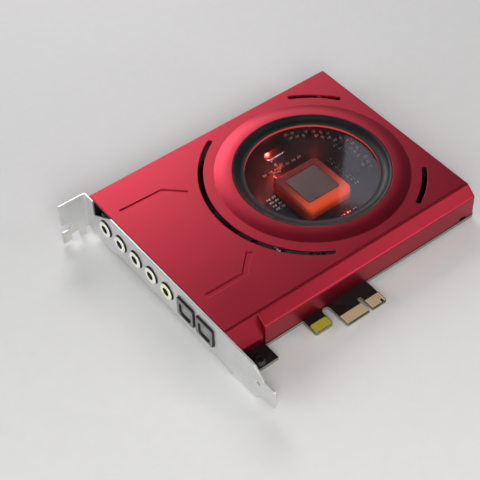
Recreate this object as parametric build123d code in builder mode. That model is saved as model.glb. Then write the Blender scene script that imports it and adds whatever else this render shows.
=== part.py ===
from build123d import *
from math import radians, tan
import os

os.makedirs("parts", exist_ok=True)

# A sound card for a short expansion slot, in millimetres. The origin is the middle of the key notch
# at the tips of the contact fingers, on the board's middle plane. X runs along the card away from
# the bracket, Y up to the top edge, Z out of the component side.

# Circuit board
board_thickness = 1.57
card_length = 128.65
card_height = 111.15
bracket_to_key = 59.96
board_gap = 0.34
lower_edge = 12.7
board_corner = 1.0
foot_length = 15.2
foot_tip = 4.7
tongue_corner = 0.6
key_width = 1.9
key_depth = 7.75
bevel = 0.4
retention_gap = 3.9
gap_round_share = 0.49
retention_width = 8.8
retention_tip = 4.35
retention_corner = 1.0

# Gold contacts
plating = 0.04
finger_pitch = 1.0
finger_width = 0.7
finger_top = 5.3
finger_start = 0.55
short_finger_start = 2.0
key_margin = 0.2
finger_margin = 0.3
front_fingers = 11
back_fingers = 7
retention_pad_height = 4.45
pad_margin = 0.25

# Bracket
bracket_thickness = 0.86
bracket_edge_low = -3.38
tab_gap = 2.2
tab_length = 12.6
tab_hook_length = 4.0
tab_hook_tip = -7.2
tab_leg_start = 1.2
tab_leg_length = 3.1
tab_leg_tip = -8.1
tab_edge_low = -3.6
bend_radius = 0.5
screw_slot_width = 4.4
screw_slot_depth = 4.9
screw_slot_z = 1.5
head_edge_low = -5.4
head_height = 15.15
jog_height = 4.5
heel_edge_low = -4.7
heel_top = 12.0
heel_low = -1.9
tongue_low = 0.3
tongue_width = 10.1
tongue_tip = -13.4
tongue_start = -6.8
heel_slope = 1.5
toe_slope_start = -1.0
tip_corner = 1.2
relief_from_top = 3.75
relief_length = 13.2
relief_depth = 8.2
relief_corner = 1.2
locating_hole_y = -3.3
locating_hole_z = 6.4
locating_hole_width = 1.7
locating_hole_length = 3.6
ear_width = 5.6
ear_length = 12.4
ear_flat = 2.6
ear_bend = 45.0
ear_screw_x = 9.5
heel_ear_y = 7.6
head_ear_from_top = 4.85
bracket_screw_radius = 1.5
screw_clearance = 0.1
head_taper = 0.7
bracket_head_radius = 2.5
bracket_head_height = 1.7

# Cover
cover_wall = 1.0
cover_gap = 0.1
jack_headroom = 1.86
wall_setback = 0.2
shoulder_run = 4.9
shoulder_drop = 4.2
shoulder_round = 1.8
cover_edge = 1.2
step_length = 15.5
step_setback = 0.9
step_foot = 3.5
crease_width = 1.5
crease_depth = 0.4
foot_slot_width = 3.2
foot_slot_height = 1.6
foot_slot_inset = 6.5
dome_margin = 5.18
dome_to_far_end = 4.28
dome_slope = 7.66
dome_rise = 1.1
vent_offset = 5.7
vent_width = 2.2
vent_arcs = ((119.5, 120.8), (36.0, 26.0), (-62.0, 24.0))
groove_width = 2.4
groove_depth = 0.45
upper_groove = ((6.1, 30.7), (26.2, 29.9), (33.9, 22.3))
lower_groove = ((6.5, -27.7), (25.2, -27.9), (33.8, -19.7))
post_radius = 2.4
post_inset = 6.0
post_to_jacks = 4.9
cover_screw_radius = 1.2
cover_screw_reach = 6.0
cover_head_radius = 2.2
cover_head_height = 1.5

# Window and bezel
bezel_gap = 0.05
bezel_lip = 0.8
bezel_height = 2.6
bezel_width = 5.13
bezel_edge = 0.9
window_thickness = 1.2
window_ledge = 1.8

# Processor under the window
frame_size = 25.0
frame_height = 6.0
frame_corner = 3.0
frame_chamfer = 1.1
cap_size = 16.5
cap_thickness = 1.6
cap_corner = 1.0
cap_gap = 0.1
frame_ledge = 1.5
processor_size = 9.0
processor_height = 0.9
processor_chamfer = 0.2
led_length = 2.0
led_width = 1.2
led_height = 0.8
led_gap = 0.15

# Jacks
row_from_top = 8.575
row_from_lower_edge = 11.3
jack_count = 5
jack_axis_height = 5.75
jack_width = 8.95
jack_depth = 13.0
jack_height = 11.4
jack_chamfer = 0.5
jack_gap = 0.25
jack_bore = 1.8
nose_radius = 3.7
nose_proud = 1.0
nose_gap = 0.4
sleeve_depth = 5.0
sleeve_gap = 0.05
jack_back_wall = 1.0
contact_set = 0.45
contact_thickness = 0.3
contact_length = 4.6
contact_height = 1.8
contact_start = 6.2
contact_gap = 0.25
leg_width = 0.9
leg_reach = 1.4
leg_hole = 1.2
ground_leg_x = 3.0

# Optical ports
port_count = 2
port_extra_gap = 1.1
port_wall = 1.1
port_roof = 0.9
port_proud = 1.0
port_gap = 0.2
port_chamfer = 0.4
mouth_width = 7.4
mouth_height = 6.7
mouth_floor = 0.9
mouth_key = 1.2
mouth_frame = 0.9
socket_side = 0.5
socket_roof = 0.75
hinge_back = 1.6
hinge_rise = 0.55
pin_radius = 0.35
pin_gap = 0.06
pin_reach = 0.7
shutter_thickness = 0.8
shutter_side_gap = 0.15
shutter_floor_gap = 0.1
spring_strip = 0.16
spring_width = 2.0
spring_side_gap = 0.2
spring_radius = 0.52
spring_notch = 1.5
spring_leg = 3.8
spring_seat_gap = 0.04
module_width = 7.4
module_height = 7.0
module_depth = 3.5
module_gap = 0.1
lens_radius = 1.1
lens_length = 1.0
lens_clearance = 0.25
module_pin = 0.5
module_pin_pitch = 2.54

# Parts soldered behind the jacks, each placed from the jacks' backs and the window's middle line
capacitor_radius = 3.15
capacitor_height = 5.8
capacitor_base = 6.6
capacitor_base_height = 1.3
capacitor_chamfer = 1.4
capacitor_places = ((12.9, 35.5), (12.9, 24.0), (12.9, 12.5), (12.9, 1.0))
op_amp_size = (3.9, 4.9, 1.5)
op_amp_places = ((4.9, 29.5), (4.9, 17.5), (4.9, 6.5), (4.9, -4.5))
codec_size = (7.0, 7.0, 0.9)
codec_chamfer = 0.1
codec_place = (30.9, -2.5)
converter_size = (4.4, 9.7, 1.1)
converter_places = ((30.9, 12.0), (30.9, -17.0))
relay_size = (7.4, 10.0, 6.0)
relay_chamfer = 0.4
relay_places = ((8.4, -24.5), (18.9, -24.5))

# Larger parts round the processor
crystal_length = 11.4
crystal_width = 4.7
crystal_height = 3.5
crystal_shift = 0.6
crystal_to_frame = 14.15
regulator_size = (6.5, 3.5, 1.6)
regulator_tab = (3.0, 1.6, 0.3)
regulator_lead_width = 0.8
regulator_pitch = 2.3
inductor_size = 6.2
inductor_height = 2.8
inductor_corner = 1.4

# Chip parts in rows beside the light frame: the side each row is on, its gap to the frame, its shift
# along that side, and its pitch and count each way
small_capacitor_size = (1.6, 0.8, 0.8)
small_capacitor_rows = (((-1, 0), 1.2, 4.5, (3.0, 2.2), (2, 4)), ((0, 1), 7.4, 0.1, (3.2, 2.4), (7, 1)))
small_resistor_size = (1.6, 0.8, 0.5)
small_resistor_rows = (((1, 0), 5.7, 1.5, (3.2, 2.6), (1, 8)), ((0, -1), 5.9, 0.1, (3.2, 2.4), (6, 1)))

# Power parts, each placed from the far end and the cover's crease
regulator_places = ((-52.65, 7.2), (-42.65, 7.2), (-24.65, 9.2))
inductor_places = ((-62.65, 7.7), (-14.7, 12.2))

# Places that follow from these sizes
z_board = board_thickness / 2
z_solder = -board_thickness / 2
x_face = -bracket_to_key
x_inner = x_face + bracket_thickness
x_board = x_inner + board_gap
x_far = x_face + card_length
key_to_finger = key_width / 2 + key_margin + finger_width / 2
connector_front = key_to_finger + (front_fingers - 1) * finger_pitch + finger_width / 2 + finger_margin
connector_back = key_to_finger + (back_fingers - 1) * finger_pitch + finger_width / 2 + finger_margin
x_retention = -connector_front - retention_gap - retention_width
z_cover = z_board + jack_height + jack_headroom + cover_wall
y_wall = lower_edge + wall_setback
y_crease = y_wall + shoulder_run
x_cover = x_inner + cover_gap
x_step = x_inner + step_length
y_window = (y_crease + card_height) / 2
dome_radius = y_window - y_crease - dome_margin
x_window = x_far - dome_to_far_end - dome_radius
lip_radius = dome_radius - dome_slope
window_radius = lip_radius - bezel_width
vent_radius = dome_radius + vent_offset
z_lip = z_cover + dome_rise
relief_top = card_height - relief_from_top
relief_bottom = relief_top - relief_length
head_low = card_height - head_height
y_tab = card_height + tab_gap
ear_places = ((heel_ear_y, heel_edge_low), (card_height - head_ear_from_top, head_edge_low))
socket_width = mouth_width + 2 * socket_side
port_width = socket_width + 2 * port_wall
row_height = card_height - row_from_top - lower_edge - row_from_lower_edge
row_solid = jack_count * jack_width + port_count * port_width + port_extra_gap
row_gap = (row_height - row_solid) / (jack_count + port_count - 1)
first_jack = card_height - row_from_top - jack_width / 2
jack_places = [first_jack - n * (jack_width + row_gap) for n in range(jack_count)]
first_port = jack_places[-1] - jack_width / 2 - row_gap - port_extra_gap - port_width / 2
port_places = [first_port - n * (port_width + row_gap) for n in range(port_count)]
z_jack = z_board + jack_axis_height
x_jack = x_inner + jack_gap
x_jack_back = x_jack + jack_depth
contact_offset = jack_bore + contact_set
sleeve_room = nose_radius + sleeve_gap
leg_middle = contact_start + contact_length / 2
post_places = [(x, y) for x in (x_jack_back + post_to_jacks, x_far - post_inset)
               for y in (card_height - post_inset, y_crease + post_inset)]
x_port = x_face - port_proud
z_mouth_floor = z_board + mouth_floor
z_mouth_top = z_mouth_floor + mouth_height
x_hinge = x_port + hinge_back
z_hinge = z_mouth_top + hinge_rise
z_socket_roof = z_hinge + socket_roof
port_height = z_socket_roof + port_roof - z_board
z_port = z_board + port_height / 2
shutter_width = socket_width - 2 * shutter_side_gap
shutter_drop = z_hinge - z_mouth_floor - shutter_floor_gap
x_lens = x_hinge + shutter_drop + lens_clearance
x_module = x_lens + lens_length
module_pocket = x_module - module_gap
x_port_back = x_module + module_depth + module_gap
z_lens = (z_mouth_floor + z_mouth_top) / 2
ON_BOARD = (Align.CENTER, Align.CENTER, Align.MIN)
FROM_CORNER = (Align.MIN, Align.MIN)


def write(builder, label):
    builder.part.label = label
    export_step(builder.part, f"parts/{label}.step")


def upright(x, y):
    """A plane through a vertical axis, with its first direction outwards and its second up."""
    return Plane(origin=(x, y, 0), x_dir=(1, 0, 0), z_dir=(0, -1, 0))


def behind_jacks(places):
    return [(x_jack_back + x, y_window + y, z_board) for x, y in places]


def at_far_end(places):
    return [(x_far + x, y_crease + y, z_board) for x, y in places]


def screw(x, y, seat, head_radius, head_height, shank_radius, reach, points_down):
    """A screw whose tapered head sits on the seat."""
    up = 1 if points_down else -1
    crown = seat + up * head_height
    with BuildSketch(upright(x, y)) as section:
        with BuildLine():
            Polyline((0, crown), (0, seat - up * reach), (shank_radius, seat - up * reach),
                     (shank_radius, seat), (head_radius, seat), (head_radius - head_taper, crown), close=True)
        make_face()
    revolve(section.sketch, axis=Axis((x, y, 0), (0, 0, 1)))


# Circuit board: black laminate with the connector tongue, the retention tongue and the foot that
# stands against the bracket
with BuildPart() as circuit_board:
    with BuildSketch(Plane.XY.offset(z_solder)):
        with Locations((x_board, lower_edge)):
            Rectangle(x_far - x_board, card_height - lower_edge, align=FROM_CORNER)
        with Locations((x_board, foot_tip)):
            Rectangle(foot_length, lower_edge - foot_tip, align=FROM_CORNER)
        with Locations((x_retention, retention_tip)):
            Rectangle(retention_width, lower_edge - retention_tip, align=FROM_CORNER)
        with Locations((-connector_front, 0)):
            Rectangle(connector_front + connector_back, lower_edge, align=FROM_CORNER)
        Rectangle(key_width, 2 * key_depth, mode=Mode.SUBTRACT)
    extrude(amount=board_thickness)
    uprights = circuit_board.edges().filter_by(Axis.Z)
    fillet(uprights.group_by(Axis.X)[-1], board_corner)
    uprights = circuit_board.edges().filter_by(Axis.Z)
    fillet([uprights.sort_by_distance((x, lower_edge, 0))[0]
            for x in (-connector_front, -connector_front - retention_gap)], retention_gap * gap_round_share)
    fillet([circuit_board.edges().filter_by(Axis.Z).sort_by_distance((x, retention_tip, 0))[0]
            for x in (x_retention, x_retention + retention_width)], retention_corner)
    chamfer([circuit_board.edges().filter_by(Axis.Z).sort_by_distance((x, 0, 0))[0]
             for x in (-connector_front, connector_back)], tongue_corner)
    chamfer(circuit_board.edges().filter_by(Axis.X).group_by(Axis.Y)[0], bevel)
    with Locations(*[(x_face + ear_screw_x, y, z_board) for y, _ in ear_places]):
        Hole(bracket_screw_radius + screw_clearance)
    with Locations(*[(x, y, z_board) for x, y in post_places]):
        Hole(cover_screw_radius + screw_clearance)
    for y in jack_places:
        with Locations((x_jack + leg_middle, y - contact_offset - contact_thickness / 2, z_board),
                       (x_jack + leg_middle, y + contact_offset + contact_thickness / 2, z_board),
                       (x_jack + ground_leg_x, y, z_board)):
            Box(leg_hole, leg_hole, 2 * board_thickness + leg_hole, mode=Mode.SUBTRACT)
    for y in port_places:
        with Locations(*[(x_module + module_pin, y + n * module_pin_pitch, z_board) for n in (-1, 0, 1)]):
            Box(leg_hole, leg_hole, 2 * board_thickness + leg_hole, mode=Mode.SUBTRACT)
write(circuit_board, "circuit_board")

# Contact fingers on both faces of the tongue, with one short finger for presence detection
finger_places = [-key_to_finger - n * finger_pitch for n in range(front_fingers)]
finger_places += [key_to_finger + n * finger_pitch for n in range(back_fingers)]
for side, z, short_finger in (("front", z_board, front_fingers + back_fingers - 2),
                              ("back", z_solder - plating, front_fingers - 1)):
    with BuildPart() as edge_fingers:
        for n, x in enumerate(finger_places):
            start = short_finger_start if n == short_finger else finger_start
            with Locations((x, start, z)):
                Box(finger_width, finger_top - start, plating, align=(Align.CENTER, Align.MIN, Align.MIN))
    write(edge_fingers, f"edge_fingers_{side}")

# Solid gold pads on both faces of the retention tongue
with BuildPart() as tongue_pads:
    for z in (z_board, z_solder - plating):
        with BuildSketch(Plane.XY.offset(z)):
            with Locations((x_retention + retention_width / 2, retention_tip + pad_margin)):
                RectangleRounded(retention_width - 2 * pad_margin, 2 * retention_pad_height,
                                 retention_corner)
            with Locations((x_retention + retention_width / 2, retention_tip + pad_margin)):
                Rectangle(retention_width, retention_pad_height, mode=Mode.INTERSECT,
                          align=(Align.CENTER, Align.MIN))
        extrude(amount=plating)
write(tongue_pads, "tongue_pads")

# Bracket: one folded sheet with a slotted screw tab, a narrow tongue and two joggled ears under the board
with BuildPart() as bracket_sheet:
    with BuildSketch(Plane.YZ.offset(x_face)):
        with BuildLine():
            Polyline((card_height, z_cover), (relief_top, z_cover), (relief_top, z_cover - relief_depth),
                     (relief_bottom, z_cover), (toe_slope_start, z_cover),
                     (tongue_start, tongue_low + tongue_width), (tongue_tip, tongue_low + tongue_width),
                     (tongue_tip, tongue_low), (tongue_start + heel_slope, tongue_low),
                     (heel_low, heel_edge_low), (heel_top, heel_edge_low),
                     (heel_top + jog_height / 2, bracket_edge_low), (head_low - jog_height, bracket_edge_low),
                     (head_low, head_edge_low), (card_height - tab_gap, head_edge_low),
                     (card_height, tab_edge_low), close=True)
        face = make_face()
        fillet(face.vertices().group_by(Axis.X)[0], tip_corner)
        fillet(face.vertices().sort_by_distance((relief_top, z_cover - relief_depth))[0], relief_corner)
        with Locations(*[(y, z_jack) for y in jack_places]):
            Circle(nose_radius + nose_gap, mode=Mode.SUBTRACT)
        with Locations(*[(y, z_port) for y in port_places]):
            Rectangle(port_width + 2 * port_gap, port_height + 2 * port_gap, mode=Mode.SUBTRACT)
        with Locations((locating_hole_y, locating_hole_z)):
            SlotOverall(locating_hole_length, locating_hole_width, mode=Mode.SUBTRACT)
    extrude(amount=bracket_thickness)
    x_tab = x_face - tab_length
    x_leg = x_face - tab_leg_start - tab_leg_length
    with BuildSketch(Plane.XY.offset(tab_edge_low)):
        with BuildLine():
            FilletPolyline((x_inner, card_height), (x_inner, y_tab + bracket_thickness),
                           (x_tab, y_tab + bracket_thickness), radius=bend_radius + bracket_thickness)
            Line((x_tab, y_tab + bracket_thickness), (x_tab, y_tab))
            FilletPolyline((x_tab, y_tab), (x_face, y_tab), (x_face, card_height), radius=bend_radius)
            Line((x_face, card_height), (x_inner, card_height))
        make_face()
    extrude(amount=z_cover - tab_edge_low)
    with BuildSketch(Plane.XZ.offset(-y_tab)):
        with Locations((x_tab, tab_edge_low)):
            Rectangle(tab_hook_length, tab_edge_low - tab_hook_tip, align=(Align.MIN, Align.MAX))
        with Locations((x_leg, tab_edge_low)):
            Rectangle(tab_leg_length, tab_edge_low - tab_leg_tip, align=(Align.MIN, Align.MAX))
    extrude(amount=-bracket_thickness)
    with BuildSketch(Plane.XZ.offset(-y_tab)):
        with Locations((x_tab, screw_slot_z)):
            SlotOverall(2 * screw_slot_depth, screw_slot_width)
    extrude(amount=-bracket_thickness, mode=Mode.SUBTRACT)
    for y, edge_low in ear_places:
        rise = z_solder - bracket_thickness - edge_low
        inset = bracket_thickness * tan(radians(ear_bend / 2))
        with BuildSketch(Plane.XZ.offset(-y)):
            with BuildLine():
                Polyline((x_face, edge_low), (x_face + ear_flat, edge_low),
                         (x_face + ear_flat + rise, edge_low + rise), (x_face + ear_length, edge_low + rise),
                         (x_face + ear_length, z_solder), (x_face + ear_flat + rise - inset, z_solder),
                         (x_face + ear_flat - inset, edge_low + bracket_thickness),
                         (x_face, edge_low + bracket_thickness), close=True)
            make_face()
        extrude(amount=ear_width / 2, both=True)
        with Locations((x_face + ear_screw_x, y, z_solder)):
            Hole(bracket_screw_radius + screw_clearance)

# The sheet in four pieces that meet face to face: the jack plate, the folded tab, the foot with the port
# openings and the slot tongue, and the ears
y_foot = (jack_places[-1] - jack_width / 2 + port_places[0] + port_width / 2) / 2
tab_bend = Plane.XZ.offset(-card_height)
foot_line = Plane.XZ.offset(-y_foot)
ear_root = Plane.YZ.offset(x_inner)
with BuildPart() as bracket:
    add(bracket_sheet.part)
    split(bisect_by=ear_root, keep=Keep.BOTTOM)
    split(bisect_by=tab_bend, keep=Keep.TOP)
    split(bisect_by=foot_line, keep=Keep.BOTTOM)
write(bracket, "bracket")

with BuildPart() as bracket_tab:
    add(bracket_sheet.part)
    split(bisect_by=tab_bend, keep=Keep.BOTTOM)
write(bracket_tab, "bracket_tab")

with BuildPart() as bracket_foot:
    add(bracket_sheet.part)
    split(bisect_by=ear_root, keep=Keep.BOTTOM)
    split(bisect_by=foot_line, keep=Keep.TOP)
write(bracket_foot, "bracket_foot")

with BuildPart() as bracket_ears:
    add(bracket_sheet.part)
    split(bisect_by=ear_root, keep=Keep.TOP)
write(bracket_ears, "bracket_ears")

# Two screws through the board into the bracket's ears
with BuildPart() as bracket_screws:
    for y, _ in ear_places:
        screw(x_face + ear_screw_x, y, z_board, bracket_head_radius, bracket_head_height,
              bracket_screw_radius, board_thickness + 2 * bracket_thickness, True)
write(bracket_screws, "bracket_screws")


def cover_section(x, shoulder, round_radius, floor, inset):
    """The cover's cross-section at one place along the card, shrunk by the inset."""
    with BuildSketch(Plane.YZ.offset(x)) as section:
        with BuildLine():
            Polyline((card_height, floor), (card_height, z_cover), (y_crease, z_cover), shoulder,
                     (shoulder[0], floor), close=True)
        outline = make_face()
        fillet(outline.vertices().sort_by_distance((shoulder[0], shoulder[1]))[0], round_radius)
        fillet(outline.vertices().sort_by_distance((card_height, z_cover))[0], cover_edge)
        if inset:
            offset(amount=-inset, kind=Kind.INTERSECTION, mode=Mode.REPLACE)
    return section.sketch


# Cover: one pressed sheet, open at the bracket, with a sloped shoulder along the connector side, a dome
# round the window, three vent slots and two shallow grooves
wall_top = (y_wall, z_cover - shoulder_drop)
step_top = (y_wall + step_setback, z_board + step_foot)
with BuildPart() as cover:
    extrude(cover_section(x_step, wall_top, shoulder_round, z_board, 0), amount=x_far - x_step)
    extrude(cover_section(x_cover, step_top, shoulder_round, z_board, 0), amount=x_step - x_cover)
    with BuildSketch(upright(x_window, y_window)):
        with BuildLine():
            Polyline((dome_radius, z_cover), (dome_radius, z_cover - cover_wall), (0, z_cover - cover_wall),
                     (0, z_lip), (lip_radius, z_lip))
            TangentArc((lip_radius, z_lip), (dome_radius, z_cover), tangent=(1, 0))
        make_face()
    revolve(axis=Axis((x_window, y_window, 0), (0, 0, 1)))
    far_edges = cover.edges().group_by(Axis.X)[-1]
    fillet([edge for edge in far_edges if edge.center().Z > z_board + cover_edge], cover_edge)
    floor = z_board - cover_wall
    extrude(cover_section(x_step + cover_wall, wall_top, shoulder_round, floor, cover_wall),
            amount=x_far - x_step - 2 * cover_wall, mode=Mode.SUBTRACT)
    extrude(cover_section(x_cover, step_top, shoulder_round, floor, cover_wall),
            amount=x_step - x_cover + 2 * cover_wall, mode=Mode.SUBTRACT)
    with BuildSketch(upright(x_window, y_window)):
        with BuildLine():
            Polyline((dome_radius, z_cover - cover_wall), (dome_radius, z_cover - 2 * cover_wall),
                     (0, z_cover - 2 * cover_wall), (0, z_lip - cover_wall), (lip_radius, z_lip - cover_wall),
                     close=True)
        make_face()
    revolve(axis=Axis((x_window, y_window, 0), (0, 0, 1)), mode=Mode.SUBTRACT)
    with Locations((x_window, y_window, z_lip)):
        Hole(lip_radius)
    with BuildSketch(Plane.XY.offset(z_cover)):
        with Locations((x_window, y_window)):
            for start, sweep_angle in vent_arcs:
                SlotArc(CenterArc((0, 0), vent_radius, start, sweep_angle), vent_width)
    extrude(amount=-cover_wall, mode=Mode.SUBTRACT)
    with BuildSketch(Plane.XY.offset(z_cover)):
        for route in (upper_groove, lower_groove):
            with BuildLine():
                Polyline(*[(x_face + x, y_window + y) for x, y in route])
            trace(line_width=groove_width)
    extrude(amount=-groove_depth, mode=Mode.SUBTRACT)
    with BuildSketch(Plane.YZ.offset(x_cover)):
        with Locations((y_crease, z_cover)):
            Polygon((-crease_width / 2, 0), (0, -crease_depth), (crease_width / 2, 0), align=None)
    extrude(amount=card_length, mode=Mode.SUBTRACT)
    with Locations((x_far - foot_slot_inset, y_wall, z_board)):
        Box(foot_slot_width, 3 * cover_wall, 2 * foot_slot_height, mode=Mode.SUBTRACT)
write(cover, "cover")

# Four hexagonal threaded posts under the cover, and the screws that come up through the board into them
with BuildPart() as cover_posts:
    for x, y in post_places:
        with BuildSketch(Plane.XY.offset(z_board)):
            with Locations((x, y)):
                RegularPolygon(post_radius, 6)
        extrude(amount=z_cover - cover_wall - z_board)
        with Locations((x, y, z_board)):
            Cylinder(cover_screw_radius + screw_clearance, cover_screw_reach, align=ON_BOARD,
                     mode=Mode.SUBTRACT)
write(cover_posts, "cover_posts")

with BuildPart() as cover_screws:
    for x, y in post_places:
        screw(x, y, z_solder, cover_head_radius, cover_head_height, cover_screw_radius,
              board_thickness + cover_screw_reach - cover_screw_radius, False)
write(cover_screws, "cover_screws")

# Black sloping bezel in the dome's lip, and the clear disc held under its inner edge
z_bezel = z_lip - bezel_height
with BuildPart() as window_bezel:
    with BuildSketch(upright(x_window, y_window)):
        with BuildLine():
            Polyline((window_radius, z_bezel), (lip_radius - bezel_gap, z_bezel),
                     (lip_radius - bezel_gap, z_lip), (lip_radius - bezel_gap - bezel_lip, z_lip),
                     (window_radius, z_bezel + bezel_edge), close=True)
        make_face()
    revolve(axis=Axis((x_window, y_window, 0), (0, 0, 1)))
write(window_bezel, "window_bezel")

with BuildPart() as window:
    with Locations((x_window, y_window, z_bezel)):
        Cylinder(window_radius + window_ledge, window_thickness,
                 align=(Align.CENTER, Align.CENTER, Align.MAX))
write(window, "window")

# Processor on the board, with lamps round it under a translucent frame that carries a dark square cap
with BuildPart() as audio_processor:
    with Locations((x_window, y_window, z_board)):
        Box(processor_size, processor_size, processor_height, align=ON_BOARD)
    chamfer(audio_processor.edges().group_by(Axis.Z)[-1], processor_chamfer)
write(audio_processor, "audio_processor")

frame_middle = (frame_size + cap_size) / 4
led_places = [(x_window + dx * frame_middle, y_window + dy * frame_middle, z_board)
              for dx, dy in ((1, 0), (0, 1), (-1, 0), (0, -1))]
with BuildPart() as light_frame:
    with BuildSketch(Plane.XY.offset(z_board)):
        with Locations((x_window, y_window)):
            RectangleRounded(frame_size, frame_size, frame_corner)
            Rectangle(cap_size - 2 * frame_ledge, cap_size - 2 * frame_ledge, mode=Mode.SUBTRACT)
    extrude(amount=frame_height)
    chamfer(light_frame.faces().sort_by(Axis.Z)[-1].outer_wire().edges(), frame_chamfer)
    with BuildSketch(Plane.XY.offset(z_board + frame_height)):
        with Locations((x_window, y_window)):
            RectangleRounded(cap_size + 2 * cap_gap, cap_size + 2 * cap_gap, cap_corner + cap_gap)
    extrude(amount=-cap_thickness, mode=Mode.SUBTRACT)
    with Locations(*led_places):
        Box(led_length + 2 * led_gap, led_length + 2 * led_gap, led_height + led_gap, align=ON_BOARD,
            mode=Mode.SUBTRACT)
write(light_frame, "light_frame")

with BuildPart() as processor_cap:
    with BuildSketch(Plane.XY.offset(z_board + frame_height - cap_thickness)):
        with Locations((x_window, y_window)):
            RectangleRounded(cap_size, cap_size, cap_corner)
    extrude(amount=cap_thickness)
write(processor_cap, "processor_cap")

with BuildPart() as light_leds:
    with Locations(*led_places):
        Box(led_length, led_width, led_height, align=ON_BOARD)
write(light_leds, "light_leds")

# Jacks: a moulded body on the board, a gold sleeve through the bracket and three contacts with their legs
x_nose = x_face - nose_proud
contact_sides = (-contact_offset - contact_thickness, contact_offset)
for n, y in enumerate(jack_places, start=1):
    jack_axis = Plane(origin=(x_jack, y, z_jack), x_dir=(1, 0, 0), z_dir=(0, -1, 0))

    with BuildPart() as jack_body:
        with Locations((x_jack, y, z_board)):
            Box(jack_depth, jack_width, jack_height, align=(Align.MIN, Align.CENTER, Align.MIN))
        chamfer(jack_body.edges().filter_by(Axis.X).group_by(Axis.Z)[-1], jack_chamfer)
        with Locations((x_jack, y, z_jack)):
            Box(jack_depth - jack_back_wall, 2 * sleeve_room, 2 * sleeve_room, mode=Mode.SUBTRACT,
                align=(Align.MIN, Align.CENTER, Align.CENTER))
        with Locations((x_jack + leg_middle, y - contact_offset - contact_thickness / 2, z_board),
                       (x_jack + leg_middle, y + contact_offset + contact_thickness / 2, z_board),
                       (x_jack + ground_leg_x, y, z_board)):
            Box(leg_width + 2 * contact_gap, contact_thickness + 2 * contact_gap, jack_axis_height,
                align=ON_BOARD, mode=Mode.SUBTRACT)
    write(jack_body, f"jack_{n}_body")

    with BuildPart() as jack_sleeve:
        with BuildSketch(jack_axis):
            nose = x_jack - x_nose
            with BuildLine():
                Polyline((-nose, jack_bore), (-nose, nose_radius), (sleeve_depth, nose_radius),
                         (sleeve_depth, jack_bore), close=True)
            make_face()
        revolve(axis=Axis((x_jack, y, z_jack), (1, 0, 0)))
    write(jack_sleeve, f"jack_{n}_sleeve")

    with BuildPart() as jack_contacts:
        for side in contact_sides:
            with BuildSketch(Plane.XZ.offset(-y - side)):
                with Locations((x_jack + leg_middle, z_jack)):
                    Rectangle(contact_length, contact_height)
                with Locations((x_jack + leg_middle, z_jack)):
                    Rectangle(leg_width, jack_axis_height + board_thickness + leg_reach,
                              align=(Align.CENTER, Align.MAX))
            extrude(amount=-contact_thickness)
        with Locations((x_jack + ground_leg_x, y, z_jack - sleeve_room)):
            Box(leg_width, contact_thickness, jack_axis_height - sleeve_room + board_thickness + leg_reach,
                align=(Align.CENTER, Align.CENTER, Align.MAX))
    write(jack_contacts, f"jack_{n}_contacts")

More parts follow.
